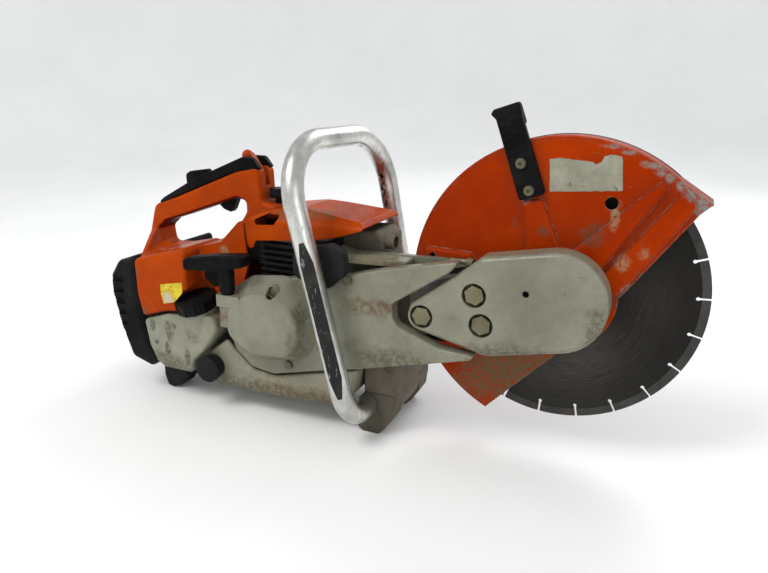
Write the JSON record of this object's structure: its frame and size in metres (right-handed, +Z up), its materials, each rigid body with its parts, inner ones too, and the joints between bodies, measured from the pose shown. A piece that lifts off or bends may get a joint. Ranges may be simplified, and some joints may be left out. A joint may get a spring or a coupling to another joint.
{
  "type": "masonry saw",
  "caption": "Hand-held petrol cut-off saw with a diamond cutting wheel, swinging wheel guard, wrap-round front handle and recoil starter.",
  "frame": {"origin": "middle of the footprint box on the ground", "axes": "+X forwards through the cutting wheel, +Y to the operator's left, +Z up"},
  "size_m": [0.7252, 0.2388, 0.3924],
  "materials": {
    "guard_paint": "gloss, chipped at the edges",
    "orange_plastic": "satin, scuffed",
    "lever_orange": "satin",
    "white_casting": "grimy satin paint, scratched",
    "white_plastic": "grimy",
    "black_plastic": "moulded",
    "lever_black": "moulded, waffled",
    "black_rubber": "matte",
    "bar_aluminium": "bare, scratched",
    "blade_steel": "brushed in rings, dull",
    "segment_metal": "rough",
    "bright_steel": "machined",
    "bolt_steel": "dull zinc",
    "raw_casting": "sand cast",
    "grimy_casting": "caked in dust",
    "filter_paper": "pleated",
    "rope": "braided",
    "ceramic": "glazed"
  },
  "bodies": {
    "root": {"rear_housing": "orange_plastic", "engine_shroud": "orange_plastic", "starter_cover": "white_casting", "belt_cover": "white_casting", "cast_arm": "white_casting", "fan_housing": "white_casting", "base_frame": "white_casting", "fuel_tank": "white_plastic", "filter_cover": "black_plastic", "grip_pad": "black_plastic", "rope_bush": "black_plastic", "handlebar_insert": "black_plastic", "cooling_louvres": "black_plastic", "rewind_spring": "black_plastic", "ignition_coil": "black_plastic", "rubber_buffers": "black_rubber", "rear_foot": "black_rubber", "intake_boot": "black_rubber", "spark_plug_boot": "black_rubber", "drive_belt": "black_rubber", "handlebar": "bar_aluminium", "clutch_shoes": "bright_steel", "ball_bearings": "bright_steel", "crankshaft": "bright_steel", "connecting_rod": "bright_steel", "piston_pin": "bright_steel", "belt_cover_nuts": "bolt_steel", "belt_tension_screw": "bolt_steel", "starter_cover_screws": "bolt_steel", "bearing_carrier": "raw_casting", "crankcase_left": "raw_casting", "crankcase_right": "raw_casting", "cylinder": "raw_casting", "piston": "raw_casting", "carburettor": "raw_casting", "flywheel": "raw_casting", "front_support": "grimy_casting", "muffler": "grimy_casting", "air_filter": "filter_paper", "starter_rope": "rope", "spark_plug": "ceramic"},
    "wheel": {"blade_core": "blade_steel", "diamond_segments": "segment_metal", "flange_inner": "bright_steel", "flange_outer": "bright_steel", "flange_bolt": "bolt_steel", "spindle_shaft": "bright_steel", "driven_pulley": "bright_steel"},
    "clutch": {"clutch_drum": "bright_steel"},
    "guard": {"blade_guard": "guard_paint", "guard_lever": "lever_black", "guard_lever_screws": "bolt_steel"},
    "grip": {"starter_grip": "black_plastic"},
    "rotor": {"rope_rotor": "black_plastic"},
    "trigger": {"throttle_trigger": "black_plastic"},
    "lockout": {"throttle_lockout": "black_plastic"},
    "combi": {"combi_lever": "lever_orange"},
    "valve": {"decompression_valve": "black_plastic"},
    "choke": {"choke_lever": "black_plastic"},
    "cap": {"fuel_cap": "black_plastic"}
  },
  "joints": [
    {"name": "wheel_spin", "type": "hinge", "parent": "root", "child": "wheel", "pos_m": [0.2126, 0.003, 0.1944], "axis": [0, 1, 0], "continuous": true},
    {"name": "clutch_spin", "type": "hinge", "parent": "root", "child": "clutch", "pos_m": [-0.0974, -0.047, 0.14], "axis": [0, 1, 0], "continuous": true},
    {"name": "guard_swing", "type": "hinge", "parent": "root", "child": "guard", "pos_m": [0.2126, 0.003, 0.1944], "axis": [0, 1, 0], "range_deg": [-35, 25]},
    {"name": "starter_pull", "type": "slide", "parent": "root", "child": "grip", "axis": [0, 0, 1], "range_m": [0, 0.7], "stiffness_N_per_m": 8, "springref_m": -0.5, "deforming": ["starter_rope"]},
    {"name": "rotor_turn", "type": "hinge", "parent": "root", "child": "rotor", "pos_m": [-0.0974, -0.095, 0.14], "axis": [0, 1, 0], "range_deg": [0, 1640]},
    {"name": "trigger_squeeze", "type": "hinge", "parent": "root", "child": "trigger", "pos_m": [-0.2084, 0.003, 0.266], "axis": [0, 1, 0], "range_deg": [0, 14], "stiffness_Nm_per_rad": 0.4, "springref_deg": -17.19},
    {"name": "lockout_press", "type": "hinge", "parent": "root", "child": "lockout", "pos_m": [-0.2544, 0.003, 0.283], "axis": [0, 1, 0], "range_deg": [-10, 0], "stiffness_Nm_per_rad": 0.3, "springref_deg": 17.19},
    {"name": "combi_set", "type": "hinge", "parent": "root", "child": "combi", "pos_m": [-0.1754, 0.003, 0.2925], "axis": [0, 1, 0], "range_deg": [-14, 14]},
    {"name": "valve_press", "type": "slide", "parent": "root", "child": "valve", "axis": [0, 0, 1], "range_m": [-0.0035, 0], "stiffness_N_per_m": 900, "springref_m": 0.003},
    {"name": "choke_set", "type": "hinge", "parent": "root", "child": "choke", "pos_m": [-0.1994, -0.057, 0.178], "axis": [0, 1, 0], "range_deg": [-20, 20]},
    {"name": "cap_turn", "type": "hinge", "parent": "root", "child": "cap", "pos_m": [-0.2239, -0.063, 0.107], "axis": [-0.1219, -0.2569, 0.9587], "range_deg": [0, 90]}
  ],
  "couplings": [
    {"joint": "clutch_spin", "follows": "wheel_spin", "ratio": 1.75},
    {"joint": "rotor_turn", "follows": "starter_pull", "rad_per_m": 40.404}
  ]
}
